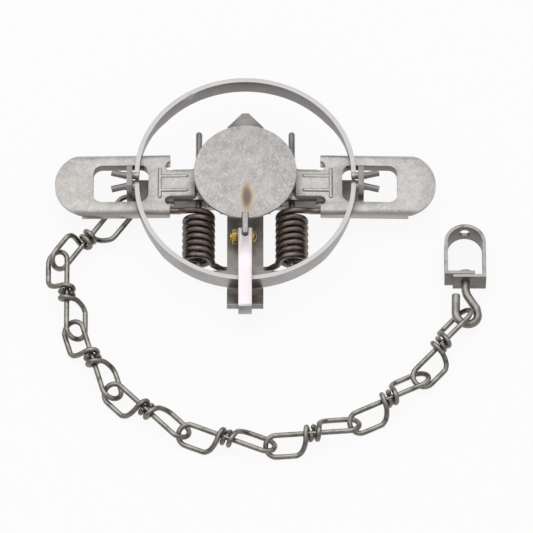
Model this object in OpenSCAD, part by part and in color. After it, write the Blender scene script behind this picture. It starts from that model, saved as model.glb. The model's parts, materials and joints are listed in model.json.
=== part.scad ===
// Coil-spring foothold trap, set open, with its anchor chain and swivel.
// X runs along the levers, -Y is the side of the dog, and Z is up.
// The origin is under the middle of the base strip.

/* [Base frame] */
// Distance between the outer faces of the two jaw posts
base_len = 129.4; // [122:0.2:140]
// Width of the base strip
base_w = 19.8; // [18:0.2:22]
// Thickness of the base strip
base_t = 3.5; // [3:0.1:4]
// Thickness of a jaw post
post_t = 3; // [2.5:0.1:3.6]
// Height of the jaw posts above the ground
post_h = 26; // [24.5:0.5:30]
// Width of a jaw post at its top
post_top_w = 12.5; // [12:0.5:15]
// Diameter of the chain hole in the left post
chain_hole_d = 7; // [6.6:0.1:7.4]

/* [Cross frame] */
// Thickness of the cross-piece and its ramp
cross_t = 2.8; // [2.4:0.1:3.2]
// Reach of the cross-piece behind the middle
cross_back = 51; // [46:1:54]
// Length of the pointed back end
cross_point = 9; // [6:0.5:14]
// Width of the wings in front of the springs
wing_w = 37; // [36:1:42]
// Depth of the wings
wing_depth = 6; // [6:0.5:10]
// Width of the bar that the dog hangs on
dog_bar_w = 3.4; // [3:0.1:4]
// Diameter of the frame rivets
rivet_d = 4; // [3:0.5:5]
// Distance from the open front jaw to the bar that the dog hangs on
dog_bar_out = 13.2; // [12.8:0.1:14]
// Height of that bar
dog_bar_z = 17.2; // [17:0.1:18]
// Level distance that the ramp takes to rise to that bar
ramp_run = 16.4; // [15.5:0.1:18]
// Height of the pan pivot
pan_pivot_z = 13.5; // [12.5:0.1:14]
// Distance of the pan pivot in front of the middle
pan_pivot_out = 32; // [31:0.5:34]
// Reach of the ears' sloping feet in front of the pan pivot
ear_foot = 15; // [8:0.5:15]

/* [Levers and springs] */
// Distance of a lever pin from the middle
pin_x = 25.4; // [25:0.2:27]
// Height of the lever pins
pin_z = 10.9; // [10.4:0.1:11.2]
// Diameter of the lever pins
pin_d = 3.5; // [3:0.1:3.8]
// Reach of the pins behind the middle
pin_back = 34; // [20:1:40]
// Thickness of the lever plate
lever_t = 2.3; // [2:0.1:2.5]
// Length of a lever from its pin to its tip
lever_len = 78.5; // [74:0.5:84]
// Outer width of a lever
lever_w = 38.2; // [36:0.2:39]
// Outer width of a lever at its pin
lever_neck_w = 20; // [19.4:0.1:21]
// Depth of the folded edges of a lever
lever_fold = 5.2; // [5:0.1:7.4]
// Depth of the pressed collar round a lever's window
collar_h = 5.5; // [4:0.25:6]
// Height of the lever's top face above its pin
lever_rise = 6.56; // [6.3:0.05:6.7]
// Slope of a set lever down from its pin, in degrees
lever_droop = 1.5; // [1.2:0.1:5]
// Diameter of the spring wire
spring_wire_d = 3.2; // [2.8:0.1:3.4]
// Mean diameter of the spring coils
spring_d = 14.7; // [14:0.1:15]
// Number of full turns of a spring
spring_turns = 7; // [5:1:7]
// Pitch of the spring coils
spring_pitch = 4; // [3.9:0.05:4.1]

/* [Jaws] */
// Thickness of the jaw strip
jaw_t = 2.5; // [2:0.1:3]
// Height of the gripping edge above the pivot
jaw_grip = 3.3; // [2.8:0.1:3.3]
// Depth of the jaw below its pivot in the middle
jaw_skirt = 6.9; // [4:0.1:8]
// Half the distance between the two jaw pivots
jaw_pivot_y = 3.5; // [3.5:0.1:3.8]
// Height of the jaw pivots
jaw_pivot_z = 19.1; // [19:0.1:19.6]
// Diameter of the jaw trunnions
trunnion_d = 4; // [3.4:0.1:4.2]
// Length of the bent tail outside a post
tail_len = 8.6; // [5:0.1:10]

/* [Trigger] */
// Diameter of the pan
pan_d = 56; // [50:0.5:58]
// Thickness of the pan
pan_t = 2; // [1.6:0.1:2.4]
// Height of the middle of the pan
pan_z = 26; // [26:0.25:29]
// Tilt of the set pan, in degrees
pan_tilt = 4.8; // [3:0.2:6]
// Thickness of the pan shank
shank_t = 2.8; // [2.2:0.1:3]
// Diameter of the pan bolt
bolt_d = 4; // [3:0.1:4.4]
// Width of the nut across its flats
nut_af = 7.4; // [7:0.1:8]
// Width of the dog strip
dog_w = 7.4; // [6:0.1:8]
// Thickness of the dog strip
dog_t = 2.3; // [2:0.1:2.5]
// Height of the arm's crest above the dog's pivot
dog_arm_rise = 11.15; // [11:0.05:12]
// Distance of the crest's start behind the dog's pivot
dog_arm_run = 19.2; // [18:0.1:19.5]

/* [Chain and swivel] */
// Diameter of the chain wire
link_wire_d = 2.9; // [2.6:0.1:3]
// Centre radius of a loop's end bend
loop_r = 5.8; // [5.6:0.1:6.4]
// Distance from a link's middle to the centre of its end bend
link_half = 19.8; // [18:0.2:22]
// Extra length of the first link's loop at the post
first_loop_extra = 9; // [8:0.5:10]
// Angle between the two loops of a link, in degrees
loop_spread = 120; // [116:1:124]
// Diameter of the swivel hook's wire
hook_wire_d = 4.7; // [4:0.1:4.8]
// Centre radius of the hook's bend
hook_r = 6.1; // [6:0.1:6.6]
// Distance from the middle of the hook's bend to the strap
hook_len = 19.7; // [18:0.1:24]
// Height of the hook's open tip above the middle of its bend
hook_tip = 11.2; // [9:0.1:13]
// Width of the swivel strap, outside
strap_w = 22.5; // [20:0.5:26]
// Length of the swivel strap
strap_len = 33; // [28:0.5:40]
// Height of the swivel strap's band
strap_h = 13; // [12:0.5:15]
// Thickness of the swivel strap
strap_t = 1.8; // [1.8:0.1:2.6]
// Diameter of the nail hole
nail_hole_d = 6; // [4:0.5:7]

/* [Hidden] */
$fn = 48;
dull_steel = "#8f8d89";
bright_steel = "#b9b7b2";
dark_steel = "#4c4744";
brass = "#b98a35";

// Running clearance of a pin in its hole, and of faces that slide past each other
fit = 0.08;
side_gap = 0.3;
over = 1;

// Places that follow from the base
post_in = base_len / 2 - post_t;
jaw_side_gap = 1.4;
jaw_r = post_in - jaw_side_gap;
cross_z = base_t + cross_t;
lug_t = 2.4;
lug_out = lever_neck_w / 2 - lever_t - side_gap;
lug_r = lever_rise - lever_t - side_gap;
chain_hole_y = -3;
chain_hole_z = base_t + chain_hole_d / 2 + 0.2;

// The ramp rises past the front jaw to the bar that the dog turns on
dog_y = -(jaw_pivot_y + jaw_r + dog_bar_out);
dog_z = dog_bar_z;
ramp_y = dog_y + ramp_run;
ramp_angle = atan2(dog_z - base_t - cross_t / 2, ramp_y - dog_y);
ramp_len = norm([dog_z - base_t - cross_t / 2, ramp_y - dog_y]);
dog_eye_r = norm([cross_t, dog_bar_w]) / 2 + side_gap;
dog_slot_half = dog_w / 2 + side_gap + 0.1;
wing_y = ramp_y + 11.6 - wing_depth;

// Pan pivot, between two ears of the cross-piece
pan_pivot = [-pan_pivot_out, pan_pivot_z];
shank_gap = 0.4;
ear_in = shank_t / 2 + shank_gap;
ear_t = 2.1;
ear_r = 5;
ear_z = base_t + cross_t / 2;
pan_y = 1.6;

// Springs: the coil hangs on its pin
spring_z = max(pin_z + pin_d / 2 + 0.5 - spring_d / 2 + spring_wire_d / 2,
    spring_d / 2 + spring_wire_d / 2 + 0.4);
spring_back_y = -lever_neck_w / 2 - 7;
leg_y = -(lever_w / 2 - lever_t - spring_wire_d / 2 - 0.4);

// Two-dimensional shapes
module slot2(len, wid, r) {
    square([len - 2 * r, wid], center = true);
    square([len, wid - 2 * r], center = true);
    for (sx = [-1, 1], sy = [-1, 1]) translate([sx * (len / 2 - r), sy * (wid / 2 - r)]) circle(r);
}

// A bent strip of even thickness: its outline from the points of its middle line
function turn_left(v) = [-v.y, v.x] / norm(v);
function mitre(p, i) =
    let (a = turn_left(p[min(i + 1, len(p) - 1)] - p[min(i, len(p) - 2)]),
        b = turn_left(p[max(i, 1)] - p[max(i - 1, 0)]))
    (a + b) / (1 + a * b);
module bent_strip(p, t) {
    n = len(p) - 1;
    polygon(concat([for (i = [0 : n]) p[i] + mitre(p, i) * t / 2],
        [for (i = [n : -1 : 0]) p[i] - mitre(p, i) * t / 2]));
}

// Draws a side view, whose x is the object's Y, as a slab of the given width about X = 0
module side_slab(wid) {
    rotate([90, 0, 90]) linear_extrude(wid, center = true) children();
}

// A round wire swept along points, with closed flat ends
function unit(v) = v / norm(v);
function along(p, i) = unit(p[min(i + 1, len(p) - 1)] - p[max(i - 1, 0)]);
function square_to(n, t) = unit(n - (n * t) * t);
function first_side(t) = square_to(abs(t.z) < 0.8 ? [0, 0, 1] : [1, 0, 0], t);
function sides_of(p) = [for (i = 0, n = first_side(along(p, 0)); i < len(p);
    i = i + 1, n = square_to(n, along(p, min(i, len(p) - 1)))) n];
module wire(p, d, sides) {
    n = sides_of(p);
    last = len(p) - 1;
    points = [for (i = [0 : last], j = [0 : sides - 1])
        let (t = along(p, i), a = 360 * j / sides)
        p[i] + (cos(a) * n[i] + sin(a) * cross(t, n[i])) * d / 2];
    walls = [for (i = [0 : last - 1], j = [0 : sides - 1])
        let (a = i * sides + j, b = i * sides + (j + 1) % sides)
        each [[a, a + sides, b], [b, a + sides, b + sides]]];
    caps = [for (j = [1 : sides - 2]) each [[0, j, j + 1],
        [last * sides, last * sides + j + 1, last * sides + j]]];
    polyhedron(points, concat(walls, caps));
}

// Least gap of a wire to itself, between points further apart along it than skip
function far_apart(p, i, skip) = [for (j = [i + skip : 1 : len(p) - 1]) norm(p[i] - p[j])];
function least_gap(p, d, skip) =
    min([for (i = [0 : len(p) - 1 - skip]) min(far_apart(p, i, skip))]) - d;

// Base strip with two jaw posts and two pairs of pin lugs
module post() {
    rotate([90, 0, 90]) linear_extrude(post_t) difference() {
        polygon([[-base_w / 2, 0], [base_w / 2, 0], [post_top_w / 2, post_h], [-post_top_w / 2, post_h]]);
        for (s = [-1, 1]) translate([s * jaw_pivot_y, jaw_pivot_z]) circle(trunnion_d / 2 + fit);
    }
}
module pin_lug() {
    rotate([90, 0, 0]) linear_extrude(lug_t, center = true) difference() {
        union() {
            translate([-lug_r, 0]) square([2 * lug_r, pin_z]);
            translate([0, pin_z]) circle(lug_r);
        }
        translate([0, pin_z]) circle(pin_d / 2 + fit);
    }
}
waist_in = cross_half() + 4;
waist_out = pin_x + lug_r + 6;
function cross_half() = base_w / 2;
bend_r = base_t - 0.3;
module bend_cut() difference() {
    translate([-over, -base_w, -over]) cube([bend_r + over, 2 * base_w, bend_r + over]);
    translate([bend_r, 0, bend_r]) rotate([90, 0, 0]) cylinder(h = 3 * base_w, r = bend_r, center = true);
}
module base_frame() color(dull_steel) difference() {
    union() {
        linear_extrude(base_t) difference() {
            square([base_len, base_w], center = true);
            for (sx = [-1, 1], sy = [-1, 1])
                translate([sx * (waist_in + waist_out) / 2, sy * (lug_out + base_w / 2)])
                    slot2(waist_out - waist_in, base_w, 2);
        }
        for (s = [-1, 1]) translate([s * (base_len / 2 - post_t / 2) - post_t / 2, 0, 0]) post();
        for (sx = [-1, 1], sy = [-1, 1])
            translate([sx * pin_x, sy * (lug_out - lug_t / 2), 0]) pin_lug();
    }
    translate([-base_len / 2 + post_t / 2, chain_hole_y, chain_hole_z])
        rotate([0, 90, 0]) cylinder(h = post_t + 2 * over, d = chain_hole_d, center = true);
    rivet_holes();
    for (s = [0, 1]) mirror([s, 0, 0]) translate([-base_len / 2, 0, 0]) bend_cut();
}

// Cross-piece: pointed back, ears for the pan, wings, and the ramp that carries the dog
module rivet_places() for (s = [-1, 1]) translate([0, s * base_w / 4, 0]) children();
module rivet_holes() rivet_places() cylinder(h = 4 * cross_z, d = rivet_d + 2 * fit, center = true);
module cross_outline() {
    half = cross_half();
    tip = 1.8;
    polygon([[-half, ramp_y], [half, ramp_y], [half, cross_back - cross_point], [tip, cross_back],
        [-tip, cross_back], [-half, cross_back - cross_point]]);
    translate([-wing_w / 2, wing_y]) square([wing_w, wing_depth]);
}
module pan_ear() {
    side_slab(ear_t) difference() {
        union() {
            translate([pan_pivot.x - ear_r, ear_z])
                square([2 * ear_r, pan_pivot.y - ear_z]);
            polygon([[pan_pivot.x - ear_foot, ear_z], [pan_pivot.x, ear_z], [pan_pivot.x, pan_pivot.y],
                [pan_pivot.x - ear_r, pan_pivot.y], [pan_pivot.x - ear_foot, cross_z]]);
            translate(pan_pivot) circle(ear_r);
        }
        translate(pan_pivot) circle(bolt_d / 2 + fit);
    }
}
module ramp() {
    end = ramp_len + dog_bar_w / 2;
    slot = dog_eye_r + dog_t + 2 * side_gap;
    translate([0, ramp_y, base_t + cross_t / 2]) rotate([-ramp_angle, 0, 0]) difference() {
        union() {
            translate([-cross_half(), -end, -cross_t / 2]) cube([base_w, end, cross_t]);
            rotate([0, 90, 0]) cylinder(h = base_w, d = cross_t, center = true);
        }
        translate([-dog_slot_half, -ramp_len + dog_bar_w / 2, -cross_t])
            cube([2 * dog_slot_half, slot - dog_bar_w / 2, 2 * cross_t]);
    }
}
module cross_frame() color(dull_steel) {
    difference() {
        translate([0, 0, base_t]) linear_extrude(cross_t) cross_outline();
        rivet_holes();
    }
    for (s = [-1, 1]) translate([s * (ear_in + ear_t / 2), 0, 0]) pan_ear();
    ramp();
}
module frame_rivets() color(dull_steel) rivet_places() {
    cylinder(h = cross_z, d = rivet_d);
    translate([0, 0, cross_z]) intersection() {
        translate([0, 0, -rivet_d * 0.6]) sphere(rivet_d);
        cylinder(h = rivet_d, d = rivet_d * 1.7);
    }
}

// Lever pins, round at their ends
module lever_pin(s) color(bright_steel) translate([s * pin_x, pin_back, pin_z]) rotate([90, 0, 0]) {
    len = pin_back - spring_front_y() + 3.4;
    cylinder(h = len, d = pin_d);
    sphere(d = pin_d);
    translate([0, 0, len]) sphere(d = pin_d);
}
module left_pin() lever_pin(-1);
module right_pin() lever_pin(1);

// Levers, drawn outward along +X from the pin before they droop
neck_len = 15.6;
relief_r = 2.7;
window_in = post_in - pin_x - 9;
window_out = base_len / 2 - pin_x + 18.2;
window_half = 11.5;
fold_end = lever_len - 15;
module fold_profile(wid, depth) {
    bend = 3.5;
    difference() {
        union() {
            translate([-wid / 2, lever_rise - depth]) square([wid, depth - bend]);
            translate([-wid / 2 + bend, lever_rise - depth]) square([wid - 2 * bend, depth]);
            for (s = [-1, 1]) translate([s * (wid / 2 - bend), lever_rise - bend]) circle(bend);
        }
        translate([-wid / 2 + lever_t, lever_rise - depth - over])
            square([wid - 2 * lever_t, depth + over - bend]);
        translate([-wid / 2 + bend, lever_rise - depth - over])
            square([wid - 2 * bend, depth + over - lever_t]);
        for (s = [-1, 1]) translate([s * (wid / 2 - bend), lever_rise - bend]) circle(bend - lever_t);
    }
}
module rounded_tip() {
    r = lever_w / 2 + 0.7;
    square([lever_len - r, lever_w], center = false);
    translate([lever_len - r, lever_w / 2]) circle(r);
}
window_r = 5;
module window_outline(wall) {
    translate([(window_in + window_out) / 2, 0])
        slot2(window_out - window_in + 2 * wall, 2 * (window_half + wall), window_r + wall);
}
module lever_body() {
    difference() {
        union() {
            intersection() {
                rotate([90, 0, 90]) translate([0, 0, neck_len])
                    linear_extrude(lever_len - neck_len) fold_profile(lever_w, lever_fold);
                translate([0, -lever_w / 2, -lever_fold]) linear_extrude(4 * lever_fold) rounded_tip();
            }
            translate([0, 0, lever_rise - collar_h]) linear_extrude(collar_h - lever_t / 2)
                window_outline(lever_t);
        }
        translate([fold_end, -lever_w, lever_rise - lever_t - 2 * lever_fold])
            cube([lever_len, 2 * lever_w, 2 * lever_fold]);
        translate([0, 0, -lever_fold]) linear_extrude(4 * lever_fold) window_outline(0);
        for (s = [-1, 1]) translate([neck_len, s * (lever_neck_w / 2 + 1), -over])
            cylinder(h = 4 * lever_fold, r = relief_r);
    }
}
module lever_neck() {
    ear = 5.5;
    depth = 10;
    difference() {
        union() {
            rotate([90, 0, 90]) translate([0, 0, 2])
                linear_extrude(neck_len + 3 - 2) fold_profile(lever_neck_w, depth);
            for (s = [-1, 1]) translate([0, s * (lever_neck_w - lever_t) / 2, 0])
                rotate([90, 0, 0]) cylinder(h = lever_t, r = ear, center = true);
        }
        rotate([90, 0, 0]) cylinder(h = 2 * lever_neck_w, d = pin_d + 2 * fit, center = true);
        for (s = [-1, 1]) translate([neck_len, s * (lever_neck_w / 2 + 1), -over])
            cylinder(h = 4 * lever_fold, r = relief_r);
    }
}
module lever_ribs() {
    rib_r = 1.3;
    proud = 0.6;
    rib_from = 6.6;
    rib_to = neck_len + 5.5;
    rib_half = 8.5;
    translate([0, 0, lever_rise + proud - rib_r]) {
        for (s = [-1, 1]) translate([rib_from, s * 4.5, 0]) {
            rotate([0, 90, 0]) cylinder(h = rib_to - rib_from, r = rib_r);
            sphere(rib_r);
        }
        translate([rib_to, 0, 0]) rotate([90, 0, 0]) cylinder(h = 2 * rib_half, r = rib_r, center = true);
        for (s = [-1, 1]) translate([rib_to, s * rib_half, 0]) sphere(rib_r);
    }
}
module lever() rotate([0, lever_droop, 0]) {
    lever_body();
    lever_neck();
    lever_ribs();
}
module right_lever() color(bright_steel) translate([pin_x, 0, pin_z]) lever();
module left_lever() color(bright_steel) translate([-pin_x, 0, pin_z]) mirror([1, 0, 0]) lever();

// Springs: the rear leg lies under the lever and the front leg under the cross-piece
leg_start = 78;
turn_rings = 8;
function spring_front_y() = spring_back_y - spring_turns * spring_pitch;
function coil_point(a) =
    [pin_x + spring_d / 2 * cos(a), spring_back_y - spring_pitch * (a - leg_start) / 360,
        spring_z + spring_d / 2 * sin(a)];
function under_lever(x) = pin_z + lever_rise - lever_t - (x - pin_x) * tan(lever_droop)
    - spring_wire_d / 2 - 0.4;
leg_knee = pin_x + neck_len - 1;
leg_end = pin_x + window_in - lever_t - 1.2;
foot_z = base_t - spring_wire_d / 2 - 0.15;
// The foot's way in from the coil: level distance, and the share of the drop that is left
foot_run = [[0.3, 0.64], [2.6, 0.36], [4.9, 0.1], [6.9, 0.01], [9.4, 0], [9.4 + spring_wire_d, 0]];
function spring_path() = concat(
    [for (x = [leg_end, leg_end - spring_wire_d, leg_knee + 4]) [x, leg_y, under_lever(x)]],
    [[leg_knee - 3, leg_y - 0.4, under_lever(leg_knee - 3)],
        [pin_x + 6, spring_back_y + 0.4, coil_point(leg_start).z - 0.8]],
    [for (i = [0 : spring_turns * turn_rings + 2]) coil_point(leg_start + 360 * i / turn_rings)],
    let (low = coil_point(leg_start + 360 * (spring_turns * turn_rings + 2) / turn_rings), y = low.y)
    [for (q = foot_run) [pin_x - spring_d / 2 - q.x, y, foot_z + q.y * (low.z - foot_z)]]);
module spring() wire(spring_path(), spring_wire_d, 6);
module right_spring() color(dark_steel) spring();
module left_spring() color(dark_steel) mirror([1, 0, 0]) spring();

// Jaws: half hoops that lie open, with bent trunnions through the posts
jaw_heel = trunnion_d / 2 + 0.1;
skirt_half = 0.73 * jaw_r;
skirt_end = 0.945 * jaw_r;
tail_bend = 14;
module jaw_end() {
    reach_out = base_len / 2 + 1.3;
    rotate([0, 90, 0]) {
        translate([0, 0, jaw_r - jaw_t + 0.2]) cylinder(h = jaw_t - 0.4, r = jaw_grip - 0.6);
        translate([0, 0, jaw_r - jaw_t / 2])
            cylinder(h = reach_out - jaw_r + jaw_t / 2, d = trunnion_d);
    }
    translate([reach_out, 0, 0]) rotate(tail_bend) translate([-1.5, 0, 0])
        rotate([0, 90, 0]) cylinder(h = tail_len, d = trunnion_d - 0.4);
}
module jaw() {
    difference() {
        rotate_extrude(angle = 180, $fn = 120) translate([jaw_r - jaw_t, -jaw_skirt])
            square([jaw_t, jaw_skirt + jaw_grip]);
        for (s = [0, 1]) mirror([s, 0, 0]) rotate([90, 0, 0]) linear_extrude(3 * jaw_r, center = true)
            polygon([[skirt_half, -jaw_skirt], [skirt_end, -jaw_heel], [2 * jaw_r, -jaw_heel],
                [2 * jaw_r, -2 * jaw_skirt], [skirt_half, -2 * jaw_skirt]]);
    }
    jaw_end();
    mirror([1, 0, 0]) jaw_end();
}
module rear_jaw() color(bright_steel) translate([0, jaw_pivot_y, jaw_pivot_z]) jaw();
module front_jaw() color(bright_steel) translate([0, -jaw_pivot_y, jaw_pivot_z]) mirror([0, 1, 0]) jaw();

// Dog: an eye round the ramp's bar and an arm over the front jaw to the pan
dog_tip_y = pan_pivot.x - 1.8;
dog_crest = [dog_y + dog_arm_run, dog_z + dog_arm_rise];
dog_line = [[dog_y, dog_z + dog_eye_r + dog_t / 2], dog_crest, dog_crest + [6.3, 0.05], [dog_tip_y, dog_z + 8]];
module dog() color("#d6d3d2") difference() {
    union() {
        side_slab(dog_w) bent_strip(dog_line, dog_t);
        translate([0, dog_y, dog_z]) rotate([90, 0, 90]) translate([0, 0, -dog_w / 2])
            rotate([0, 0, 90]) rotate_extrude(angle = 205) translate([dog_eye_r, 0]) square([dog_t, dog_w]);
    }
    translate([0, dog_tip_y - 4, 0]) linear_extrude(3 * dog_z) {
        circle(ear_in);
        translate([-ear_in, 0]) square([2 * ear_in, 8]);
    }
}

// Pan: a tilted disc welded on an upright shank that turns on the bolt
pan_notch = 3.4;
weld_from = pan_y - pan_d / 2 + pan_notch + 1;
weld_to = weld_from + 15.7;
nose_y = dog_tip_y - 1.3;
module at_pan() translate([0, pan_y, pan_z]) rotate([pan_tilt, 0, 0]) children();
module pan() color(dull_steel) at_pan() difference() {
    translate([0, 0, -pan_t / 2]) cylinder(h = pan_t, d = pan_d, $fn = 96);
    translate([-ear_in, -pan_d / 2 - over, -pan_t]) cube([2 * ear_in, pan_notch + over, 2 * pan_t]);
}
module pan_shank() color(dull_steel) difference() {
    side_slab(shank_t) {
        translate(pan_pivot) circle(ear_r - 0.6);
        polygon([pan_pivot + [-4, 1.5], pan_pivot + [4.2, -1.3], [weld_from + 1, pan_z - 7.5],
            [weld_to - 2.7, pan_z - 4.5], [weld_to + 1.3, pan_z - 2.4], [weld_to + 1.3, pan_z + 4],
            [nose_y, pan_z + 4], [nose_y, pan_pivot.y + 8]]);
    }
    at_pan() translate([-shank_t, -pan_d / 2 + pan_notch - 0.2, -pan_t / 2 - 0.1])
        cube([2 * shank_t, 2 * pan_d, pan_d]);
    at_pan() translate([-shank_t, -pan_d, pan_t / 2]) cube([2 * shank_t, 2 * pan_d, pan_d]);
    translate([0, pan_pivot.x, pan_pivot.y]) rotate([0, 90, 0])
        cylinder(h = 2 * shank_t, d = bolt_d + 2 * fit, center = true);
}
bolt_in = ear_in + ear_t;
nut_t = 3.2;
module pan_bolt() color(brass) translate([0, pan_pivot.x, pan_pivot.y]) rotate([0, 90, 0]) {
    translate([0, 0, -bolt_in - nut_t - 1.2]) cylinder(h = 2 * bolt_in + nut_t + 1.2, d = bolt_d);
    translate([0, 0, bolt_in]) intersection() {
        translate([0, 0, -bolt_d * 0.4]) sphere(bolt_d);
        cylinder(h = bolt_d, d = bolt_d * 1.75);
    }
}
module pan_nut() color(brass) translate([-bolt_in, pan_pivot.x, pan_pivot.y]) rotate([0, -90, 0]) difference() {
    cylinder(h = nut_t, d = nut_af / cos(30), $fn = 6);
    translate([0, 0, -over]) cylinder(h = nut_t + 2 * over, d = bolt_d + 2 * fit);
}

// Chain: each link is one wire with a loop at each end and its tails wound round its straight leg
wrap_gap = 0.6;
wrap_r = link_wire_d + wrap_gap;
knot_start = 2 * link_wire_d;
// A loop's end turns in beside its leg: distance from the knot, shares of the loop's width and of the wrap
turn_in = [[2.8, 0.966, 0.06], [1.4, 0.83, 0.26], [0.6, 0.62, 0.57], [0.2, 0.4, 0.86], [0.1, 0.19, 0.985]];
bend_rings = 8;
wrap_rings = 10;
wrap_turn = 396;
knot_pitch = link_wire_d + wrap_gap;
loop_tilt = -90 + loop_spread / 2;
function out_from_leg(x, r, a) = [x, r * cos(a), r * sin(a)];
function half_link(half) = concat(
    [for (f = [0 : 0.5 : 1]) [half * f, 0, 0]],
    [for (i = [1 : bend_rings]) let (t = 180 * i / bend_rings)
        out_from_leg(half + loop_r * sin(t), loop_r * (1 - cos(t)), loop_tilt)],
    [out_from_leg(half * 0.55, 2 * loop_r, loop_tilt)],
    [for (q = turn_in) out_from_leg(knot_start + q[0], 2 * loop_r * q[1], loop_tilt)
        + out_from_leg(0, wrap_r * q[2], loop_tilt + 90)],
    [for (i = [0 : wrap_rings]) let (t = wrap_turn * i / wrap_rings)
        out_from_leg(knot_start - knot_pitch * t / 360, wrap_r, loop_tilt + 90 + t)]);
function turned_over(p) = [-p.x, -p.y, p.z];
function link_path(extra) = let (a = half_link(link_half + extra), b = half_link(link_half))
    concat([for (i = [len(a) - 1 : -1 : 0]) turned_over(a[i])], [for (i = [1 : len(b) - 1]) b[i]]);

// Where the links hang in each other: each link's heading, its slack along and across the loop, and its roll
link_heading = [-136.5, -77.9, -61.5, -33.1, -10, 16.5, 38.4, 58.7];
link_slack = [2.3, 3.2, 3.4, 1.1, 1.05, 0.8, 1.25, 3.65];
link_side = [0.8, -1.5, -1.3, 0, 0, 0, 0.5, 0];
link_roll = [155, 0, 0, 0, 0, 0, 0, -18];
chain_z = link_wire_d / 2 + 0.05 + loop_r * cos(loop_spread / 2);
chain_start = [-base_len / 2 + 0.3, chain_hole_y - loop_r + 0.2, chain_hole_z - 0.3];
joint_z = [chain_start.z, chain_start.z + 2.4, chain_z + 0.75, chain_z + 0.65, chain_z, chain_z, chain_z,
    chain_z, chain_z + 2.8];
reach = link_half + loop_r - link_wire_d / 2;
function hold_left(k) = k == 0 ? -link_half - first_loop_extra : -reach + link_slack[k];
function hold_right(k) = reach - link_slack[k];
function rolled(p, r) = [p.x, p.y * cos(r) - p.z * sin(r), p.y * sin(r) + p.z * cos(r)];
function left_hold(k) = rolled(turned_over(out_from_leg(-hold_left(k), loop_r, loop_tilt)), link_roll[k]);
function right_hold(k) = rolled(out_from_leg(hold_right(k), loop_r + link_side[k], loop_tilt), link_roll[k]);
function link_step(k) = let (d = norm(right_hold(k) - left_hold(k)),
    dz = joint_z[k + 1] - joint_z[k], flat = sqrt(d * d - dz * dz))
    [flat * cos(link_heading[k]), flat * sin(link_heading[k]), dz];
function chain_joint(k) = k == 0 ? chain_start : chain_joint(k - 1) + link_step(k - 1);
module chain_link(k) color(dark_steel) {
    own = right_hold(k) - left_hold(k);
    step = link_step(k);
    translate(chain_joint(k))
        rotate([0, -asin(step.z / norm(step)), link_heading[k]])
        rotate([0, atan2(own.z, norm([own.x, own.y])), 0])
        rotate([0, 0, -atan2(own.y, own.x)])
        translate(-left_hold(k))
        rotate([link_roll[k], 0, 0])
        wire(link_path(k == 0 ? first_loop_extra : 0), link_wire_d, 6);
}

// Swivel: a hook that turns in a strap with a nail hole
hook_end = chain_joint(8);
hook_c = [hook_end.x + 2.3, hook_end.y + 2];
shank_x = hook_c.x - 0.5;
swivel_z = strap_h / 2;
hook_roll = 12;
plate_y = hook_c.y + hook_len;
strap_in = strap_t + side_gap;
hook_head_t = 2;
hook_head_r = hook_wire_d * 0.9;
hook_neck = plate_y - 3.5;
hook_head_at = plate_y - hook_neck + 2 * strap_t + side_gap + 0.2;
function hook_path() = concat(
    [[shank_x, hook_neck, 0], [shank_x + 0.1, hook_neck - 1.4, 0], [shank_x + 0.8, hook_neck - 4.2, 0]],
    [for (q = [[0.5, 1.24], [0.87, 0.7]]) [hook_c.x + hook_r * q.x, hook_c.y + hook_r * q.y, 0]],
    [for (t = [18 : -11 : -180]) [hook_c.x + hook_r * cos(t), hook_c.y + hook_r * sin(t), 0]],
    [[hook_c.x - hook_r, hook_c.y + hook_r * 0.4, 0], [hook_c.x - hook_r + 0.2, hook_c.y + hook_tip, 0]]);
module swivel_hook() color(bright_steel) translate([shank_x, 0, swivel_z]) rotate([0, hook_roll, 0])
    translate([-shank_x, 0, 0]) {
        wire(hook_path(), hook_wire_d, 12);
        translate([shank_x, hook_neck, 0]) rotate([-90, 0, 0]) {
            cylinder(h = hook_head_at + hook_head_t, d = hook_wire_d);
            translate([0, 0, hook_head_at]) cylinder(h = hook_head_t, r = hook_head_r);
        }
    }
module strap_outline(w, len) {
    translate([-w / 2, 0]) square([w, len - w / 2]);
    translate([0, len - w / 2]) circle(w / 2);
}
module swivel_strap() color(bright_steel) translate([shank_x, plate_y, 0]) difference() {
    union() {
        linear_extrude(strap_h) difference() {
            strap_outline(strap_w, strap_len);
            translate([0, -over]) strap_outline(strap_w - 2 * strap_t, strap_len - strap_t + over);
            translate([-strap_w / 2 - over, -over]) square([strap_w / 2, strap_in + over]);
        }
        translate([-strap_w * 0.3, 0, 0]) cube([strap_w * 0.8, strap_t, strap_h]);
        translate([-strap_w / 2, strap_in, 0]) cube([strap_w * 0.73, strap_t, strap_h]);
    }
    translate([0, -over, swivel_z]) rotate([-90, 0, 0])
        cylinder(h = 2 * strap_in + 2 * over, d = hook_wire_d + 2 * fit);
    translate([0, strap_len - 2 * strap_t, swivel_z]) rotate([-90, 0, 0])
        cylinder(h = 3 * strap_t, d = nail_hole_d);
}

echo(spring_gap = least_gap(spring_path(), spring_wire_d, 6));
echo(link_gap = least_gap(link_path(0), link_wire_d, 4));
echo(joints = [for (k = [0 : 8]) chain_joint(k)]);

base_frame();
cross_frame();
frame_rivets();
left_pin();
right_pin();
left_lever();
right_lever();
left_spring();
right_spring();
front_jaw();
rear_jaw();
dog();
pan();
pan_shank();
pan_bolt();
pan_nut();
chain_link(0);  // chain_link_1
chain_link(1);  // chain_link_2
chain_link(2);  // chain_link_3
chain_link(3);  // chain_link_4
chain_link(4);  // chain_link_5
chain_link(5);  // chain_link_6
chain_link(6);  // chain_link_7
chain_link(7);  // chain_link_8
swivel_hook();
swivel_strap();
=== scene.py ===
import json
from math import asin, atan2, cos, hypot, radians, sin, tan

import bmesh
import bpy
from mathutils import Matrix, Vector


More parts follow.
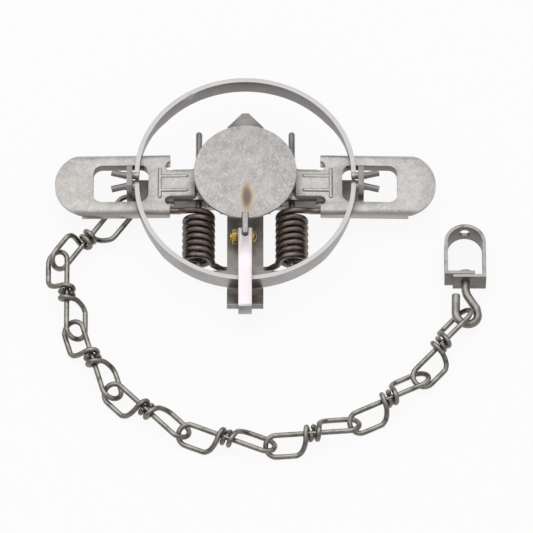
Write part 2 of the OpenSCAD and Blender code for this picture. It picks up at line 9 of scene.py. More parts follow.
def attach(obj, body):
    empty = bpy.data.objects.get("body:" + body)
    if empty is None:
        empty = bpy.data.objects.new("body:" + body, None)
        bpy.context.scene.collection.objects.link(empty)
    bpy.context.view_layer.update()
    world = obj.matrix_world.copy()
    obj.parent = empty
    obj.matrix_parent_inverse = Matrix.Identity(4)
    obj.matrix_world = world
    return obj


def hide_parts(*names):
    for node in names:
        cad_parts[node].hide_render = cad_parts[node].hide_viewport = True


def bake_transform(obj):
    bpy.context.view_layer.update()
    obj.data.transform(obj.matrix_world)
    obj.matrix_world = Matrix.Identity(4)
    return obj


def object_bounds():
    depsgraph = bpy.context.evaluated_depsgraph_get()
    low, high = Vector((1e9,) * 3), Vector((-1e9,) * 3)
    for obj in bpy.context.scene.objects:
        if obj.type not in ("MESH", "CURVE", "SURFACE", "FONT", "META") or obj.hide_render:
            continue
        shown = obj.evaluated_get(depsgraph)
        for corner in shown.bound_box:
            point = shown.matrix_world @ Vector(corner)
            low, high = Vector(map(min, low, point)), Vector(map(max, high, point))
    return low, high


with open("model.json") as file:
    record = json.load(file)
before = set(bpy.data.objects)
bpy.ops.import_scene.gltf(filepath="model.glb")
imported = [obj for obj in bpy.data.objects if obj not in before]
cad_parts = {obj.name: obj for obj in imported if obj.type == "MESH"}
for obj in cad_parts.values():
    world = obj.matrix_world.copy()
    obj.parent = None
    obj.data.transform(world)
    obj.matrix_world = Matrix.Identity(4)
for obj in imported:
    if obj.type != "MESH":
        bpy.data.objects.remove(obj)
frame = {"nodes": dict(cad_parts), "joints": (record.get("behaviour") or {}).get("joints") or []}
cadLow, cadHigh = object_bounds()
mm = 0.001
mergeWithin = 1e-6  # metres between points that are one
joints = {joint["name"]: joint for joint in frame["joints"]}


def jointAt(name):
    return [value / mm for value in joints[name]["pos_m"]]


def linear(hexCode):
    parts = [int(hexCode[i:i + 2], 16) / 255 for i in (1, 3, 5)]
    curve = [p / 12.92 if p <= 0.04045 else ((p + 0.055) / 1.055) ** 2.4 for p in parts]
    return (*curve, 1)


def addNode(tree, kind, inputs=None, **settings):
    made = tree.nodes.new(kind)
    for name, value in settings.items():
        setattr(made, name, value)
    for socket, value in (inputs or {}).items():
        if isinstance(value, bpy.types.NodeSocket):
            tree.links.new(value, made.inputs[socket])
        else:
            made.inputs[socket].default_value = value
    return made.outputs


# What all the metals share: the noise's roughness, the mottle that spreads the gloss, and a relief in mm
skin = {"noiseRough": 0.6, "glossFrom": (0.3, 0.7), "scratchDepth": -0.2, "bump": 0.3, "reliefDepth": 0.06}
# Marks for the metal: worn edges, upward faces that take painted light, and hollow walls that take painted
# shade
faceMarks = ("edgeWear", "paintedTopLight", "paintedHollowShade")


# Metal built up in layers: each names its field, its colour, the range that fades it in and its share
def layeredMetal(name, look):
    made = bpy.data.materials.new(name)
    made.use_nodes = True
    tree = made.node_tree
    shader = tree.nodes["Principled BSDF"].inputs
    place = addNode(tree, "ShaderNodeTexCoord")["Object"]
    wanted = {"mottle", "grain", "patches", "scratches"}.union(layer[0] for layer in look["layers"])
    fields = {}
    for field, noise in {**commonFields, **look.get("fields", {})}.items():
        if field not in wanted:
            continue
        source = place
        if noise.get("alongWire"):
            along = addNode(tree, "ShaderNodeAttribute", attribute_name="alongWire")["Fac"]
            source = addNode(tree, "ShaderNodeCombineXYZ", {0: along})[0]
        turned = addNode(tree, "ShaderNodeMapping", {
            "Vector": source, "Scale": noise.get("stretch", (1, 1, 1)),
            "Rotation": (0, 0, radians(noise.get("turn", 0)))}, vector_type="TEXTURE")[0]
        fields[field] = addNode(tree, "ShaderNodeTexNoise", {
            "Vector": turned, "Scale": 1 / (noise["size"] * mm), "Detail": noise["detail"],
            "Roughness": skin["noiseRough"]})[0]
    for part in [mark for mark in faceMarks if mark in wanted]:
        marked = addNode(tree, "ShaderNodeAttribute", attribute_name=part)["Fac"]
        fields[part] = addNode(tree, "ShaderNodeMath", {0: marked, 1: fields["mottle"]},
                               operation="MULTIPLY")[0]
    if "spot" in look:
        spot = look["spot"]
        scale = [1 / (size * mm) for size in spot["half"]]
        shift = [-at * mm * each for at, each in zip(spot["at"], scale)]
        oval = addNode(tree, "ShaderNodeMapping", {
            "Vector": place, "Location": (*shift, 0), "Scale": (*scale, 0)})[0]
        reach = addNode(tree, "ShaderNodeVectorMath", {0: oval}, operation="LENGTH")["Value"]
        fields["spot"] = addNode(tree, "ShaderNodeMath", {0: fields["patches"], 1: spot["wander"], 2: reach},
                                 operation="MULTIPLY_ADD")[0]
    colour = linear(look["base"])
    for field, hexCode, low, high, share in look["layers"]:
        mask = addNode(tree, "ShaderNodeMapRange", {
            "Value": fields[field], "From Min": low, "From Max": high, "To Max": share})[0]
        colour = addNode(tree, "ShaderNodeMix", {0: mask, 6: colour, 7: linear(hexCode)}, data_type="RGBA")[2]
    tree.links.new(colour, shader["Base Color"])
    shader["Metallic"].default_value = 1
    smooth, dull = look["rough"]
    low, high = skin["glossFrom"]
    gloss = addNode(tree, "ShaderNodeMapRange", {
        "Value": fields["mottle"], "From Min": low, "From Max": high, "To Min": smooth, "To Max": dull})[0]
    tree.links.new(gloss, shader["Roughness"])
    relief = addNode(tree, "ShaderNodeMath", {
        0: fields["scratches"], 1: skin["scratchDepth"], 2: fields["grain"]}, operation="MULTIPLY_ADD")[0]
    bump = addNode(tree, "ShaderNodeBump", {
        "Height": relief, "Strength": skin["bump"], "Distance": skin["reliefDepth"] * mm})[0]
    tree.links.new(bump, shader["Normal"])
    return made


# Noise fields, with the size of their marks in mm; the finest are drawn as coarse as they need to show
commonFields = {
    "mottle": {"size": 9, "detail": 6},
    "grain": {"size": 0.45, "detail": 3},
    "patches": {"size": 16, "detail": 5},
    "scratches": {"size": 0.5, "detail": 2, "stretch": (30, 1, 1), "turn": 8},
    "scuffs": {"size": 0.5, "detail": 2, "stretch": (16, 1, 1), "turn": -52},
    "flecks": {"size": 1.3, "detail": 4},
    "bands": {"size": 7, "detail": 3, "alongWire": True},
}

metals = {
    # Pale sheet with a grey bloom, white flecks and faint rolling marks, with painted shade on its sides and
    # a deeper painted shade on the walls of its windows and folds
    "levers": layeredMetal("mildSteelRolledAndPressed", {
        "base": "#BFBAB7", "rough": (0.36, 0.54), "fields": {"mottle": {"size": 5, "detail": 6}}, "layers": [
            ("mottle", "#E1DDD9", 0.36, 0.64, 1), ("grain", "#ADA9A6", 0.44, 0.7, 0.4),
            ("patches", "#B4ADA8", 0.52, 0.72, 0.45), ("flecks", "#F3F3F3", 0.55, 0.68, 0.6),
            # Painted shade on every face that does not face up, and deeper painted shade on the hollow walls
            ("scratches", "#F0ECE9", 0.62, 0.74, 0.2), ("paintedTopLight", "#ADA9A6", 0.2, 0.1, 0.75),
            ("paintedHollowShade", "#716D6B", 0.2, 0.34, 0.85), ("edgeWear", "#F3F3F3", 0.3, 0.55, 0.5)]}),
    # Grey band, painted paler on its rounded upper edge as a painted highlight, with painted shade inside the
    # hoop and on the tails
    "jaws": layeredMetal("mildSteelBandPaintedLight", {
        "base": "#9C9998", "rough": (0.3, 0.42), "fields": {"mottle": {"size": 14, "detail": 4}},
        # The spot darkens the tails, past about 60 mm to each side, as painted shade
        "spot": {"at": (0, 0), "half": (60, 400), "wander": 0.04}, "layers": [
            ("mottle", "#B2AFAE", 0.36, 0.66, 1), ("grain", "#989493", 0.42, 0.7, 0.3),
            ("patches", "#9A9189", 0.56, 0.74, 0.35), ("paintedHollowShade", "#767170", 0.22, 0.4, 0.85),
            ("paintedTopLight", "#D3D1D0", 0.15, 0.3, 0.9), ("scratches", "#E2E0DF", 0.6, 0.72, 0.2),
            ("edgeWear", "#F0EEED", 0.2, 0.5, 0.7), ("spot", "#7F7B7A", 1.06, 1.1, 0.75)]}),
    # Bare pan, cloudy, flecked and scuffed every way, with a straw and violet heat tint over the weld
    "pan": layeredMetal("mildSteelStampedDisc", {
        "base": "#B1ABA9", "rough": (0.38, 0.56), "fields": {
            "mottle": {"size": 6, "detail": 6},
            "crossScuffs": {"size": 0.5, "detail": 2, "stretch": (14, 1, 1), "turn": 67}},
        "spot": {"at": (0.9, -14.3), "half": (2.5, 7.2), "wander": 1.5}, "layers": [
            ("mottle", "#D4D0CE", 0.36, 0.64, 1), ("grain", "#A29D9B", 0.44, 0.7, 0.45),
            ("patches", "#A9A49F", 0.5, 0.7, 0.5), ("flecks", "#F3F0EE", 0.56, 0.68, 0.55),
            ("scuffs", "#F3F3F3", 0.56, 0.7, 0.45), ("crossScuffs", "#F3F3F3", 0.56, 0.7, 0.45),
            ("scratches", "#95908E", 0.6, 0.74, 0.3), ("spot", "#C9B595", 2.4, 1.9, 0.5),
            ("spot", "#AD8C5D", 2, 1.7, 0.6), ("spot", "#7A6F73", 1.72, 1.3, 0.8),
            ("edgeWear", "#F3F3F3", 0.3, 0.55, 0.55)]}),
    # Darker strip with patches of scale, and a point at the back evened to mid grey and painted near white
    # about its middle as a painted highlight
    "frame": layeredMetal("mildSteelHotRolledStrip", {
        "base": "#94908D", "rough": (0.38, 0.56),
        "spot": {"at": (0, 53), "half": (16, 12), "wander": 0.2}, "layers": [
            ("mottle", "#BDB9B4", 0.36, 0.66, 1), ("grain", "#8C8885", 0.42, 0.7, 0.35),
            # The spot evens the back point to mid grey and paints a near-white painted highlight about its
            # middle
            ("patches", "#7A756F", 0.52, 0.7, 0.5), ("spot", "#A09C9A", 2.6, 2.2, 0.85),
            ("spot", "#F0ECE9", 1, 0.5, 0.95),
            ("scratches", "#E8E3DC", 0.6, 0.72, 0.25), ("edgeWear", "#F3EFEA", 0.24, 0.5, 0.8)]}),
    # Plating painted near white and faintly pink on its upward faces as a painted highlight, left blue-grey
    # on the bends
    "dog": layeredMetal("steelZincPlatedStrip", {
        "base": "#969799", "rough": (0.28, 0.4), "layers": [
            ("mottle", "#B3B2B2", 0.36, 0.66, 1), ("paintedTopLight", "#F8EEF3", 0.15, 0.3, 0.97),
            ("patches", "#E4DCDF", 0.62, 0.78, 0.4), ("scratches", "#F3F3F3", 0.6, 0.72, 0.2),
            ("edgeWear", "#CDC9CA", 0.25, 0.5, 0.6)]}),
    # Brown-black oil temper, with a painted highlight along the top of each turn
    "spring": layeredMetal("springSteelOilTempered", {
        "base": "#5F5551", "rough": (0.3, 0.44), "fields": {
            "mottle": {"size": 5, "detail": 6}, "bands": {"size": 9, "detail": 3, "alongWire": True}},
        "layers": [
            ("mottle", "#7C7069", 0.36, 0.66, 1), ("bands", "#95887D", 0.42, 0.66, 0.5),
            ("grain", "#5A514C", 0.42, 0.7, 0.3), ("patches", "#6B5747", 0.58, 0.74, 0.4),
            ("paintedTopLight", "#B4A79B", 0.3, 0.6, 0.6)]}),
    # Drawn wire gone grey with brown patches, left darker below as painted shade and with a painted highlight
    # along its top
    "chain": layeredMetal("lowCarbonWireDrawn", {
        "base": "#5F5A54", "rough": (0.26, 0.42), "fields": {
            "mottle": {"size": 5, "detail": 6}, "patches": {"size": 9, "detail": 5}},
        "layers": [
            ("mottle", "#88837C", 0.36, 0.66, 1), ("bands", "#9B9690", 0.42, 0.66, 0.5),
            ("grain", "#5F5A54", 0.42, 0.7, 0.3), ("patches", "#6B5B45", 0.56, 0.72, 0.45),
            ("paintedTopLight", "#CDC8C1", 0.22, 0.5, 0.75), ("scratches", "#CDC8C2", 0.6, 0.72, 0.2)]}),
    # Mid-grey wire of the swivel, rolled smooth, with a painted highlight along its top
    "swivel": layeredMetal("mildSteelColdFormedWire", {
        "base": "#78736F", "rough": (0.32, 0.48), "layers": [
            ("mottle", "#9B9792", 0.36, 0.66, 1), ("grain", "#76716D", 0.42, 0.7, 0.3),
            ("patches", "#6F655C", 0.58, 0.74, 0.5), ("paintedTopLight", "#CDC9C3", 0.25, 0.55, 0.7)]}),
    # Bent strip, painted paler on its upper edge as a painted highlight
    "strap": layeredMetal("mildSteelShearedStrip", {
        "base": "#6B6765", "rough": (0.36, 0.54), "fields": {"mottle": {"size": 6, "detail": 6}}, "layers": [
            ("mottle", "#827E7C", 0.36, 0.66, 1), ("grain", "#666260", 0.42, 0.7, 0.35),
            ("patches", "#6B635C", 0.54, 0.72, 0.5), ("paintedTopLight", "#C6C1BD", 0.24, 0.5, 0.9),
            ("scratches", "#C4BFBA", 0.6, 0.72, 0.25), ("edgeWear", "#D8D3CE", 0.34, 0.58, 0.6)]}),
    # Turned pin stock with a clean grey skin
    "pins": layeredMetal("mildSteelColdDrawnRod", {
        "base": "#7F7B77", "rough": (0.32, 0.48), "layers": [
            ("mottle", "#AEAAA6", 0.36, 0.66, 1), ("grain", "#7D7A76", 0.42, 0.7, 0.3),
            ("patches", "#756D65", 0.58, 0.74, 0.4), ("scratches", "#DAD7D2", 0.6, 0.72, 0.25)]}),
    # Yellow turned brass, a little dulled
    "brass": layeredMetal("brassTurned", {
        "base": "#BF9A42", "rough": (0.24, 0.4), "layers": [
            ("mottle", "#E8C76E", 0.36, 0.66, 1), ("grain", "#B08D3E", 0.42, 0.7, 0.3),
            ("patches", "#8F7340", 0.6, 0.76, 0.4), ("edgeWear", "#F8E6AE", 0.3, 0.55, 0.7)]}),
}
print("materials made", len(metals))


# How every wire is drawn, in mm and degrees
wireWork = {"sides": 20, "ringSpacing": 0.7, "curveSteps": 12, "endAngle": 60, "endEase": 0.3, "endRings": 2}


# Wire swept round a path, with the length along it kept for the bands of its metal
def makeWireTree():
    tree = bpy.data.node_groups.new("wireSweep", "GeometryNodeTree")
    face = tree.interface
    face.new_socket("Geometry", in_out="INPUT", socket_type="NodeSocketGeometry")
    sockets = {}
    for name, kind in (("Wire Radius", "NodeSocketFloat"), ("Sides", "NodeSocketInt"),
                       ("Ring Spacing", "NodeSocketFloat"), ("Material", "NodeSocketMaterial")):
        sockets[name] = face.new_socket(name, in_out="INPUT", socket_type=kind).identifier
    face.new_socket("Geometry", in_out="OUTPUT", socket_type="NodeSocketGeometry")
    given = addNode(tree, "NodeGroupInput")
    curved = addNode(tree, "GeometryNodeCurveSplineType", {"Curve": given["Geometry"]},
                     spline_type="CATMULL_ROM")
    fine = addNode(tree, "GeometryNodeSetSplineResolution", {
        0: curved[0], "Resolution": wireWork["curveSteps"]})
    even = addNode(tree, "GeometryNodeResampleCurve", {"Curve": fine[0], "Length": given["Ring Spacing"]},
                   mode="LENGTH")
    length = addNode(tree, "GeometryNodeSplineParameter")["Length"]
    marked = addNode(tree, "GeometryNodeStoreNamedAttribute", {
        "Geometry": even[0], "Value": length, "Name": "alongWire"}, data_type="FLOAT", domain="POINT")
    ring = addNode(tree, "GeometryNodeCurvePrimitiveCircle",
                   {"Resolution": given["Sides"], "Radius": given["Wire Radius"]}, mode="RADIUS")
    swept = addNode(tree, "GeometryNodeCurveToMesh",
                    {"Curve": marked[0], "Profile Curve": ring[0], "Fill Caps": True})
    whole = addNode(tree, "GeometryNodeRealizeInstances", {0: swept[0]})
    finish = addNode(tree, "GeometryNodeSetMaterial", {"Geometry": whole[0], "Material": given["Material"]})
    addNode(tree, "NodeGroupOutput", {0: finish[0]})
    return tree, sockets


wireTree, wireSockets = makeWireTree()
shadeAngle = 34  # degrees past which an edge shows as a crease


def sharpRims(work, least):
    return [e for e in work.edges if len(e.link_faces) == 2 and e.calc_face_angle(0) > radians(least)]


def finishMesh(name, work, material):
    bmesh.ops.recalc_face_normals(work, faces=work.faces)
    mesh = bpy.data.meshes.new(name)
    work.to_mesh(mesh)
    work.free()
    mesh.materials.clear()
    mesh.materials.append(material)
    mesh.polygons.foreach_set("use_smooth", [True] * len(mesh.polygons))
    mesh.polygons.foreach_set("material_index", [0] * len(mesh.polygons))
    mesh.set_sharp_from_angle(angle=radians(shadeAngle))
    made = bpy.data.objects.new(name, mesh)
    bpy.context.scene.collection.objects.link(made)
    return made


# A bent wire from points in mm, with its cut ends eased and its upper side marked for a painted highlight
def bentWire(name, points, diameter, material):
    curve = bpy.data.curves.new(name + "Path", "CURVE")
    curve.dimensions = "3D"
    spline = curve.splines.new("POLY")
    spline.points.add(len(points) - 1)
    for point, target in zip(points, spline.points):
        target.co = (*(value * mm for value in point), 1)
    path = bpy.data.objects.new(name + "Path", curve)
    bpy.context.scene.collection.objects.link(path)
    sweep = path.modifiers.new("wireSweep", "NODES")
    sweep.node_group = wireTree
    sweep[wireSockets["Wire Radius"]] = diameter / 2 * mm
    sweep[wireSockets["Sides"]] = wireWork["sides"]
    sweep[wireSockets["Ring Spacing"]] = wireWork["ringSpacing"] * mm
    sweep[wireSockets["Material"]] = material
    bpy.context.view_layer.update()
    swept = path.evaluated_get(bpy.context.evaluated_depsgraph_get())
    mesh = bpy.data.meshes.new_from_object(swept)
    bpy.data.objects.remove(path)
    work = bmesh.new()
    work.from_mesh(mesh)
    bpy.data.meshes.remove(mesh)
    bmesh.ops.remove_doubles(work, verts=work.verts, dist=mergeWithin)
    bmesh.ops.bevel(work, geom=sharpRims(work, wireWork["endAngle"]), offset=wireWork["endEase"] * mm,
                    segments=wireWork["endRings"], profile=0.5, affect="EDGES")
    bmesh.ops.recalc_face_normals(work, faces=work.faces)
    work.normal_update()
    # The upper side is marked for a painted highlight
    topLight = work.verts.layers.float.new("paintedTopLight")
    for vert in work.verts:
        vert[topLight] = max(vert.normal.z, 0) ** 2
    return finishMesh(name, work, material)


# How plates are dressed: flats joined and edges eased, in degrees, and the slopes of the upper faces and
# hollow walls that take painted light and painted shade
dressing = {"flatAngle": 0.6, "edgeAngle": 28, "rings": 2, "topSlope": 0.85, "innerSlope": 0.4}


# A CAD piece with its sharp edges eased, its worn faces marked for the metal, and its upward faces and hollow
# walls marked for painted light and painted shade
def eased(node, piece):
    work = bmesh.new()
    work.from_mesh(frame["nodes"][node].data)
    bmesh.ops.remove_doubles(work, verts=work.verts, dist=mergeWithin)
    bmesh.ops.dissolve_limit(work, angle_limit=radians(dressing["flatAngle"]), verts=work.verts,
                             edges=work.edges)
    marks = {part: work.faces.layers.float.new(part) for part in faceMarks}
    rims = bmesh.ops.bevel(work, geom=sharpRims(work, dressing["edgeAngle"]), offset=piece["edge"] * mm,
                           segments=piece.get("rings", dressing["rings"]), profile=0.5, affect="EDGES",
                           clamp_overlap=True)
    for face in rims["faces"]:
        face[marks["edgeWear"]] = 1
    bmesh.ops.recalc_face_normals(work, faces=work.faces)
    for face in work.faces:
        # Upward faces are marked for painted light, and the inward walls of the hollows for painted shade
        face[marks["paintedTopLight"]] = face.normal.z > dressing["topSlope"]
        middle = face.calc_center_median()
        for x, y, reach in piece.get("hollows", []):
            inward = Vector((x * mm - middle.x, y * mm - middle.y, 0))
            if inward.length < reach * mm and face.normal.dot(inward.normalized()) > dressing["innerSlope"]:
                face[marks["paintedHollowShade"]] = 1
    bmesh.ops.triangulate(work, faces=[f for f in work.faces if len(f.verts) > 4])
    made = finishMesh(node + "Eased", work, metals[piece["metal"]])
    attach(made, piece["body"])
    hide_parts(node)


# Plate, band and rod pieces, with edges in mm and the middle and reach of each hollow whose walls get painted
# shade
platework = {
    "base_frame": {"body": "base", "slot": "dull_steel", "metal": "frame", "edge": 0.4},
    "cross_frame": {"body": "base", "slot": "dull_steel", "metal": "frame", "edge": 0.4},
    "frame_rivets": {"body": "base", "slot": "dull_steel", "metal": "frame", "edge": 0.4},
    "left_pin": {"body": "base", "slot": "bright_steel", "metal": "pins", "edge": 0.4},
    "right_pin": {"body": "base", "slot": "bright_steel", "metal": "pins", "edge": 0.4},
    "left_lever": {"body": "left_lever", "slot": "bright_steel", "metal": "levers", "edge": 0.45,
                   "hollows": [(-72, 0, 18), (-40, -21, 18)]},
    "right_lever": {"body": "right_lever", "slot": "bright_steel", "metal": "levers", "edge": 0.45,
                    "hollows": [(72, 0, 18), (40, -21, 18)]},
    "front_jaw": {"body": "front_jaw", "slot": "bright_steel", "metal": "jaws", "edge": 0.8, "rings": 4,
                  "hollows": [(0, 0, 80)]},
    "rear_jaw": {"body": "rear_jaw", "slot": "bright_steel", "metal": "jaws", "edge": 0.8, "rings": 4,
                 "hollows": [(0, 0, 80)]},
    "dog": {"body": "dog", "slot": "plated_steel", "metal": "dog", "edge": 0.25},
    "pan": {"body": "pan", "slot": "dull_steel", "metal": "pan", "edge": 0.4},
    "pan_shank": {"body": "pan", "slot": "dull_steel", "metal": "pan", "edge": 0.3},
    "pan_bolt": {"body": "base", "slot": "brass", "metal": "brass", "edge": 0.3},
    "pan_nut": {"body": "base", "slot": "brass", "metal": "brass", "edge": 0.25},
    "swivel_strap": {"body": "strap", "slot": "bright_steel", "metal": "strap", "edge": 0.4},
}
for node, piece in platework.items():
    eased(node, piece)
print("plate pieces made", len(platework))


# Torsion springs: a leg under the lever, seven turns and a foot under the cross-piece
springWork = {
    "wire": 3.45, "across": 14.7, "turns": 7, "pitch": 4, "legStart": 78, "turnPoints": 8,
    "middleZ": 9.35, "backY": -17, "legY": -14.8, "kneeOut": 14.6, "legOut": 23.8,
    "topAbovePin": 6.56, "leverThick": 2.3, "droop": 1.5, "clear": 0.4, "footZ": 1.75, "lastPoints": 2,
    "kneeAfter": 4, "kneeBefore": 3, "kneeShift": 0.4, "joinOut": 6, "joinShift": 0.4, "joinDrop": 0.8,
    "stillY": -44, "movingY": -18,
    "footRun": [(0.3, 0.64), (2.6, 0.36), (4.9, 0.1), (6.9, 0.01), (9.4, 0), (12.6, 0)],
}


def springPoints(work):
    pinX, _, pinZ = jointAt("right_lever_rise")
    radius = work["across"] / 2

    def coil(angle):
        turned = (angle - work["legStart"]) / 360
        return (pinX + radius * cos(radians(angle)), work["backY"] - work["pitch"] * turned,
                work["middleZ"] + radius * sin(radians(angle)))

    def underLever(x):
        top = pinZ + work["topAbovePin"] - work["leverThick"] - (x - pinX) * tan(radians(work["droop"]))
        return top - work["wire"] / 2 - work["clear"]

    knee = pinX + work["kneeOut"]
    end = pinX + work["legOut"]
    start = coil(work["legStart"])
    points = [(x, work["legY"], underLever(x)) for x in (end, end - work["wire"], knee + work["kneeAfter"])]
    bent = knee - work["kneeBefore"]
    points.append((bent, work["legY"] - work["kneeShift"], underLever(bent)))
    points.append((pinX + work["joinOut"], work["backY"] + work["joinShift"], start[2] - work["joinDrop"]))
    last = work["turns"] * work["turnPoints"] + work["lastPoints"]
    points += [coil(work["legStart"] + 360 * i / work["turnPoints"]) for i in range(last + 1)]
    low = points[-1]
    side = pinX - radius
    foot = work["footZ"]
    points += [(side - inward, low[1], foot + left * (low[2] - foot)) for inward, left in work["footRun"]]
    return points


for side, sign in (("left", -1), ("right", 1)):
    route = [(sign * x, y, z) for x, y, z in springPoints(springWork)]
    piece = bentWire(side + "SpringWire", route, springWork["wire"], metals["spring"])
    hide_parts(side + "_spring")
    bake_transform(piece)
print("springs made")


# Chain: each link is one wire, looped at both ends and wrapped round its own middle
linkWork = {
    "wire": 2.9, "drawn": 2.84,  # the solid's wire, and the round one that clears its neighbours
    "loop": 5.8, "half": 19.8, "firstExtra": 9, "tilt": -30, "bendRings": 8, "returnLeg": 0.5,
    "wrap": 3.5, "knotPitch": 3.2, "knotStart": 3.77, "wrapTurn": 360, "wrapRings": 10,
    "turnIn": [(4.6, 0.97, 0.05), (2.6, 0.84, 0.25), (1.2, 0.62, 0.57), (0.4, 0.4, 0.86), (0.1, 0.19, 0.985)],
    "slack": [2.3, 3.2, 3.4, 1.1, 1.05, 0.8, 1.25, 3.65],  # one value for each link
    "side": [0.8, -1.5, -1.3, 0, 0, 0, 0.5, 0],
    "roll": [155, 0, 0, 0, 0, 0, 0, -18],
}


def outFromLeg(x, radius, angle):
    return Vector((x, radius * cos(radians(angle)), radius * sin(radians(angle))))


def turnedOver(point):
    return Vector((-point[0], -point[1], point[2]))


def halfLink(half, work):
    loop, tilt, wrap = work["loop"], work["tilt"], work["wrap"]
    points = [Vector((half * share, 0, 0)) for share in (0, 0.5, 1)]
    for i in range(1, work["bendRings"] + 1):
        turn = radians(180 * i / work["bendRings"])
        points.append(outFromLeg(half + loop * sin(turn), loop * (1 - cos(turn)), tilt))
    points.append(outFromLeg(half * work["returnLeg"], 2 * loop, tilt))
    for out, across, around in work["turnIn"]:
        leg = outFromLeg(work["knotStart"] + out, 2 * loop * across, tilt)
        points.append(leg + outFromLeg(0, wrap * around, tilt + 90))
    for i in range(work["wrapRings"] + 1):
        turn = work["wrapTurn"] * i / work["wrapRings"]
        points.append(outFromLeg(work["knotStart"] - work["knotPitch"] * turn / 360, wrap, tilt + 90 + turn))
    return points


def linkPoints(index, work, start, end):
    extra = work["firstExtra"] if index == 0 else 0
    far = halfLink(work["half"] + extra, work)
    near = halfLink(work["half"], work)
    reach = work["half"] + work["loop"] - work["wire"] / 2
    leftReach = work["half"] + extra if index == 0 else reach - work["slack"][index]
    roll = Matrix.Rotation(radians(work["roll"][index]), 4, "X")
    leftHold = roll @ turnedOver(outFromLeg(leftReach, work["loop"], work["tilt"]))
    rightHold = roll @ outFromLeg(reach - work["slack"][index], work["loop"] + work["side"][index],
                                  work["tilt"])
    own = rightHold - leftHold
    step = Vector(end) - Vector(start)
    place = (Matrix.Translation(start) @ Matrix.Rotation(atan2(step.y, step.x), 4, "Z")
             @ Matrix.Rotation(-asin(step.z / step.length), 4, "Y")
             @ Matrix.Rotation(atan2(own.z, hypot(own.x, own.y)), 4, "Y")
             @ Matrix.Rotation(-atan2(own.y, own.x), 4, "Z") @ Matrix.Translation(-leftHold) @ roll)
    return [place @ p for p in [turnedOver(p) for p in reversed(far)] + near[1:]]


links = len(linkWork["roll"])
holds = [jointAt("link_%d_swing" % (index + 1)) for index in range(links)] + [jointAt("hook_swing")]
for index in range(links):
    name = "chainLink%d" % (index + 1)
    route = linkPoints(index, linkWork, holds[index], holds[index + 1])
    piece = bentWire(name, route, linkWork["drawn"], metals["chain"])
    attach(piece, "link_%d" % (index + 1))
    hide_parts("chain_link_%d" % (index + 1))
print("chain links made")

# Swivel hook: a bent wire whose head is upset behind the strap's plates
hookWork = {
    "wire": 4.62, "bend": 6.1, "ahead": (2.3, 2), "shankBack": 0.5, "plateUp": 19.7, "neckDown": 3.5,
    "neckRun": [(0.1, 1.4), (0.8, 4.2)],  # out and down from the neck
    "shoulder": [(0.5, 1.24), (0.87, 0.7)],  # in bend radii from the bend's middle
    "bendFrom": 18, "bendTo": -180, "bendStep": 11, "tipRise": 0.4, "tipLean": 0.2, "tipUp": 11.2,
    "headUp": 4.1, "headThick": 2, "headWide": 8.46, "roll": 12, "level": 6.5,
}


def hookRoutes(work):
    endX, endY, _ = jointAt("hook_swing")
    middleX, middleY = endX + work["ahead"][0], endY + work["ahead"][1]
    shank, bend = middleX - work["shankBack"], work["bend"]
    plate = middleY + work["plateUp"]
    neck = plate - work["neckDown"]
    head = plate + work["headUp"]
    flat = [(shank, head + work["headThick"] / 2), (shank, plate), (shank, neck)]
    flat += [(shank + out, neck - down) for out, down in work["neckRun"]]
    flat += [(middleX + bend * across, middleY + bend * up) for across, up in work["shoulder"]]
    for angle in range(work["bendFrom"], work["bendTo"] - 1, -work["bendStep"]):
        flat.append((middleX + bend * cos(radians(angle)), middleY + bend * sin(radians(angle))))
    flat += [(middleX - bend, middleY + bend * work["tipRise"]),
             (middleX - bend + work["tipLean"], middleY + work["tipUp"])]
    lean = radians(work["roll"])
    route = [(shank + (x - shank) * cos(lean), y, work["level"] - (x - shank) * sin(lean)) for x, y in flat]
    return route, [(shank, head + step * work["headThick"], work["level"]) for step in (0, 0.5, 1)]


wireRoute, headRoute = hookRoutes(hookWork)
hookParts = [bentWire("hookWire", wireRoute, hookWork["wire"], metals["swivel"]),
             bentWire("hookHead", headRoute, hookWork["headWide"], metals["swivel"])]
hookMesh = bmesh.new()
for part in hookParts:
    hookMesh.from_mesh(part.data)
    bpy.data.objects.remove(part)
hook = finishMesh("swivelHook", hookMesh, metals["swivel"])
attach(hook, "hook")
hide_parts("swivel_hook")
print("swivel made")

# Pale floor, soft light from all round and a broad lamp above, in metres and watts
studio = {
    "world": 0.6, "lampWide": 3, "lampDeep": 2.4, "lampWatts": 13, "lampAt": (-0.3, 0.5, 2),
    "lampAim": (0, -0.05, 0), "floorHalf": 4, "floorDrop": 0.0002, "paperWhite": 0.9, "paperRough": 0.95,
}
floorMesh = bpy.data.meshes.new("floor")
floorZ = cadLow.z - studio["floorDrop"]
edge = studio["floorHalf"]
corners = [(-edge, -edge, floorZ), (edge, -edge, floorZ), (edge, edge, floorZ), (-edge, edge, floorZ)]
floorMesh.from_pydata(corners, [], [(0, 1, 2, 3)])
floor = bpy.data.objects.new("floor", floorMesh)
bpy.context.scene.collection.objects.link(floor)
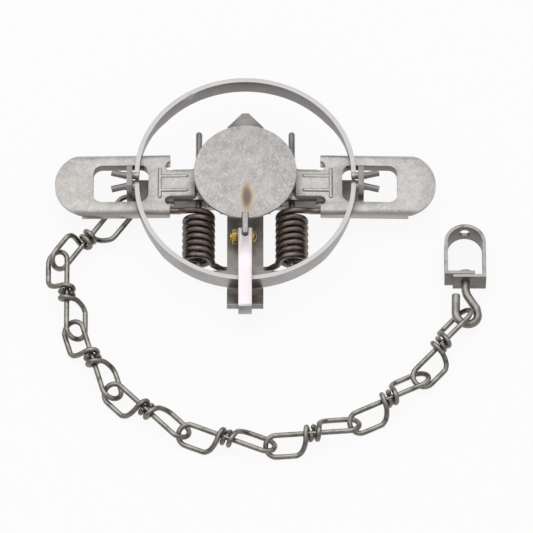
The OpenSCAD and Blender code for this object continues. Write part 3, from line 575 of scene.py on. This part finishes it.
# Matt paper that shows almost white to the camera and in the metal, with a faint shadow
paper = bpy.data.materials.new("paperSeamlessMatt")
paper.use_nodes = True
paperTree = paper.node_tree
paperShader = paperTree.nodes["Principled BSDF"]
paperShader.inputs["Base Color"].default_value = linear("#FCFCFC")
paperShader.inputs["Roughness"].default_value = studio["paperRough"]
paperShader.inputs["Specular IOR Level"].default_value = 0
ray = addNode(paperTree, "ShaderNodeLightPath")
direct = addNode(paperTree, "ShaderNodeMath", {0: ray["Is Camera Ray"], 1: ray["Is Glossy Ray"]},
                 operation="MAXIMUM")[0]
direct = addNode(paperTree, "ShaderNodeMath", {0: direct, 1: ray["Is Transmission Ray"]},
                 operation="MAXIMUM")[0]
glow = addNode(paperTree, "ShaderNodeMath", {0: direct, 1: studio["paperWhite"]}, operation="MULTIPLY")[0]
white = addNode(paperTree, "ShaderNodeEmission", {"Color": linear("#FFFFFF"), "Strength": 1})[0]
mixed = addNode(paperTree, "ShaderNodeMixShader", {0: glow, 1: paperShader.outputs[0], 2: white})[0]
paperTree.links.new(mixed, paperTree.nodes["Material Output"].inputs["Surface"])
floorMesh.materials.append(paper)

scene = bpy.context.scene
world = bpy.data.worlds.new("softStudio")
world.use_nodes = True
backdrop = world.node_tree.nodes["Background"].inputs
backdrop["Color"].default_value = linear("#FFFFFF")
backdrop["Strength"].default_value = studio["world"]
scene.world = world
lamp = bpy.data.lights.new("overhead", "AREA")
lamp.shape = "RECTANGLE"
lamp.size, lamp.size_y = studio["lampWide"], studio["lampDeep"]
lamp.energy = studio["lampWatts"]
lampHolder = bpy.data.objects.new("overhead", lamp)
lampHolder.location = studio["lampAt"]
lampHolder.rotation_mode = "QUATERNION"
lampHolder.rotation_quaternion = (Vector(studio["lampAim"]) - lampHolder.location).to_track_quat("-Z", "Y")
scene.collection.objects.link(lampHolder)
scene.view_settings.view_transform = "Standard"

# Long lens from 60 degrees above, which keeps the picture almost without perspective, in mm
shot = {"aim": (11.58, -48.6, 10), "wide": 289.7, "away": 4000, "rise": 60, "sensor": 36, "farthest": 50000}
camera = bpy.data.cameras.new("camera")
camera.sensor_width = shot["sensor"]
camera.lens = shot["sensor"] * shot["away"] / shot["wide"]
camera.clip_end = shot["farthest"] * mm
cameraHolder = bpy.data.objects.new("camera", camera)
aim = Vector(shot["aim"]) * mm
back = Vector((0, -cos(radians(shot["rise"])), sin(radians(shot["rise"]))))
cameraHolder.location = aim + back * shot["away"] * mm
cameraHolder.rotation_mode = "QUATERNION"
cameraHolder.rotation_quaternion = (-back).to_track_quat("-Z", "Y")
scene.collection.objects.link(cameraHolder)
scene.camera = cameraHolder
print("stage made")
